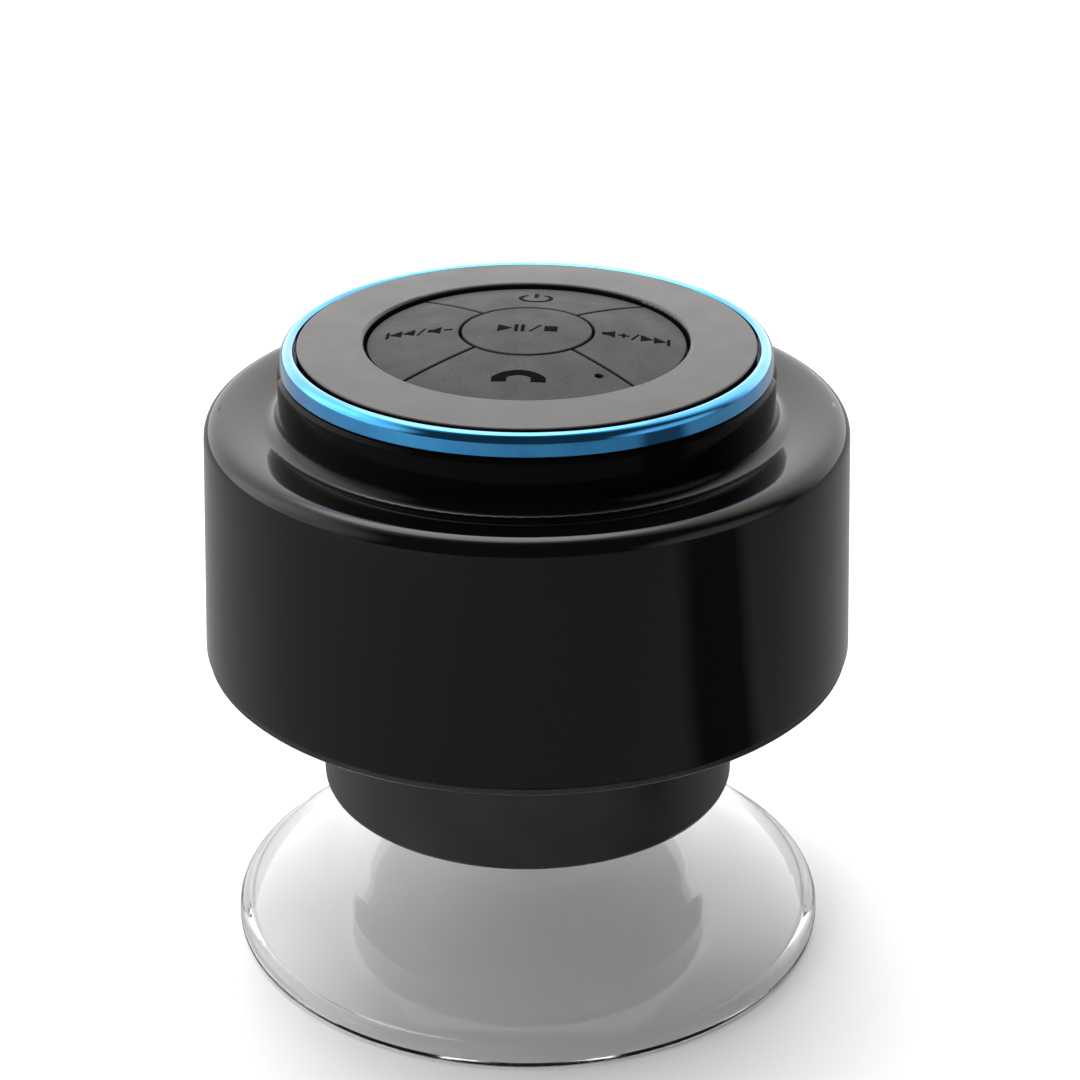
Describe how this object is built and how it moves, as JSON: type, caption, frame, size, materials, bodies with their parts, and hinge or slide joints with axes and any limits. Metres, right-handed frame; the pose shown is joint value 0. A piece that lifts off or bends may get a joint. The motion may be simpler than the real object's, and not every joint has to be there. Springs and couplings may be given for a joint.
{
  "type": "shower speaker",
  "caption": "Round splash-proof wireless speaker with a keypad on top, a down-firing driver in a narrow drum, a covered charging port and a screw-on clear suction cup foot.",
  "frame": {"origin": "centre of the suction cup's sealing lip, in the plane of the lip", "axes": "+Z along the speaker's axis from the cup to the keypad; -Y towards the handset key; +X towards the volume-up key"},
  "size_m": [0.092, 0.092, 0.0915],
  "materials": {
    "gloss_black_plastic": "high gloss",
    "satin_black_plastic": "fine satin",
    "fascia_plastic": "satin, soft touch",
    "blue_chrome": "blue plated",
    "key_rubber": "fine matt",
    "dark_silicone": "matt",
    "clear_pvc": "clear, glossy",
    "zinc_steel": "zinc plated",
    "black_steel": "black coated",
    "brass": "turned",
    "copper": "enamelled wire",
    "ferrite": "ground, sintered",
    "circuit_board": "green solder mask",
    "component_black": "moulded",
    "component_metal": "satin",
    "socket_plastic": "moulded, off white",
    "pouch_foil": "foil laminate",
    "foam_tape": "closed-cell foam",
    "cable_sheath": "smooth",
    "flat_cable": "flat ribbon",
    "cone_paper": "pressed fibre",
    "cone_rubber": "matt",
    "spider_cloth": "impregnated cloth",
    "former_film": "amber film"
  },
  "bodies": {
    "housing": {"stud_insert": "brass", "lower_shell": "satin_black_plastic", "upper_shell": "gloss_black_plastic", "housing_seal": "dark_silicone", "housing_screws": "zinc_steel", "trim_ring": "blue_chrome", "fascia": "fascia_plastic", "fascia_screws": "zinc_steel", "keypad_membrane": "dark_silicone", "keypad_spacer": "component_black", "control_board": "circuit_board", "control_board_screws": "zinc_steel", "tact_switches": "component_metal", "microphone": "component_metal", "microphone_boot": "dark_silicone", "control_socket": "socket_plastic", "control_cable": "flat_cable", "main_board": "circuit_board", "main_board_screws": "zinc_steel", "bluetooth_module": "component_metal", "amplifier_chips": "component_black", "inductors": "ferrite", "capacitors": "component_metal", "cable_sockets": "socket_plastic", "charging_socket": "zinc_steel", "charging_contacts": "component_black", "battery_cell": "pouch_foil", "battery_circuit": "circuit_board", "battery_tape": "foam_tape", "battery_cable": "cable_sheath", "speaker_cable": "cable_sheath", "port_cover_tab": "dark_silicone", "speaker_gasket": "foam_tape", "speaker_basket": "black_steel", "terminal_strip": "component_black", "front_plate": "zinc_steel", "ring_magnet": "ferrite", "back_plate": "zinc_steel", "speaker_screws": "zinc_steel"},
    "play_key": {"play_button": "key_rubber", "play_plunger": "component_black"},
    "power_key": {"power_button": "key_rubber", "power_plunger": "component_black"},
    "volume_down_key": {"volume_down_button": "key_rubber", "volume_down_plunger": "component_black"},
    "volume_up_key": {"volume_up_button": "key_rubber", "volume_up_plunger": "component_black"},
    "call_key": {"call_button": "key_rubber", "call_plunger": "component_black"},
    "cone": {"speaker_cone": "cone_paper", "dust_cap": "cone_paper", "coil_former": "former_film", "coil_winding": "copper", "cone_surround": "cone_rubber", "spider": "spider_cloth", "tinsel_leads": "copper"},
    "port_flap": {"port_cover": "dark_silicone"},
    "cup_carrier": {"cup_washer": "dark_silicone"},
    "cup": {"suction_cup": "clear_pvc", "cup_stud": "zinc_steel"}
  },
  "joints": [
    {"name": "play_press", "type": "slide", "parent": "housing", "child": "play_key", "axis": [0, 0, -1], "range_m": [0, 0.0004], "stiffness_N_per_m": 1200},
    {"name": "power_press", "type": "slide", "parent": "housing", "child": "power_key", "axis": [0, 0, -1], "range_m": [0, 0.0004], "stiffness_N_per_m": 1200},
    {"name": "volume_down_press", "type": "slide", "parent": "housing", "child": "volume_down_key", "axis": [0, 0, -1], "range_m": [0, 0.0004], "stiffness_N_per_m": 1200},
    {"name": "volume_up_press", "type": "slide", "parent": "housing", "child": "volume_up_key", "axis": [0, 0, -1], "range_m": [0, 0.0004], "stiffness_N_per_m": 1200},
    {"name": "call_press", "type": "slide", "parent": "housing", "child": "call_key", "axis": [0, 0, -1], "range_m": [0, 0.0004], "stiffness_N_per_m": 1200},
    {"name": "cone_excursion", "type": "slide", "parent": "housing", "child": "cone", "axis": [0, 0, -1], "range_m": [-0.0015, 0.0015], "stiffness_N_per_m": 900, "deforming": ["cone_surround", "spider", "tinsel_leads"]},
    {"name": "port_cover_swing", "type": "hinge", "parent": "housing", "child": "port_flap", "pos_m": [0, 0.0445, 0.06025], "axis": [-1, 0, 0], "range_deg": [0, 100]},
    {"name": "cup_travel", "type": "slide", "parent": "housing", "child": "cup_carrier", "axis": [0, 0, -1], "range_m": [0, 0.01001]},
    {"name": "cup_turn", "type": "hinge", "parent": "cup_carrier", "child": "cup", "pos_m": [0, 0, 0.012], "axis": [0, 0, -1], "range_deg": [0, 1800]}
  ],
  "couplings": [
    {"joint": "cup_travel", "follows": "cup_turn", "m_per_rad": 0.00031831}
  ]
}
